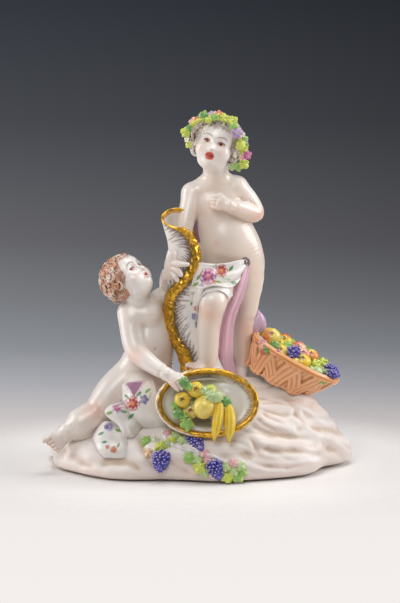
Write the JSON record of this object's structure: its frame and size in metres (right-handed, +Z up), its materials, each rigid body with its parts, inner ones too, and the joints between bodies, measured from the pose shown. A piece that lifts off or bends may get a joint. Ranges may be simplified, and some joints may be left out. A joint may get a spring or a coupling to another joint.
{
  "type": "porcelain figure group",
  "caption": "Glazed porcelain group: a standing and a seated child with a horn of plenty, a basket of fruit, a vine and flowered drapery on a rocky mound.",
  "frame": {"origin": "middle of the mound's flat underside, on the surface it stands on", "axes": "+Z up; -Y towards the viewer, the side that the children face; +X to the viewer's right, where the basket is"},
  "size_m": [0.2179, 0.1226, 0.2477],
  "materials": {
    "porcelain": "glossy white glaze with a faintly blush tint on knees, elbows and cheeks",
    "enamel": "glossy glaze painted with enamel colours: fruit, leaves, petals, grapes and the peach basket",
    "gilding": "burnished gold, brushed on along the edges of the horn"
  },
  "bodies": {
    "root": {"porcelain_group": "porcelain"}
  },
  "joints": []
}
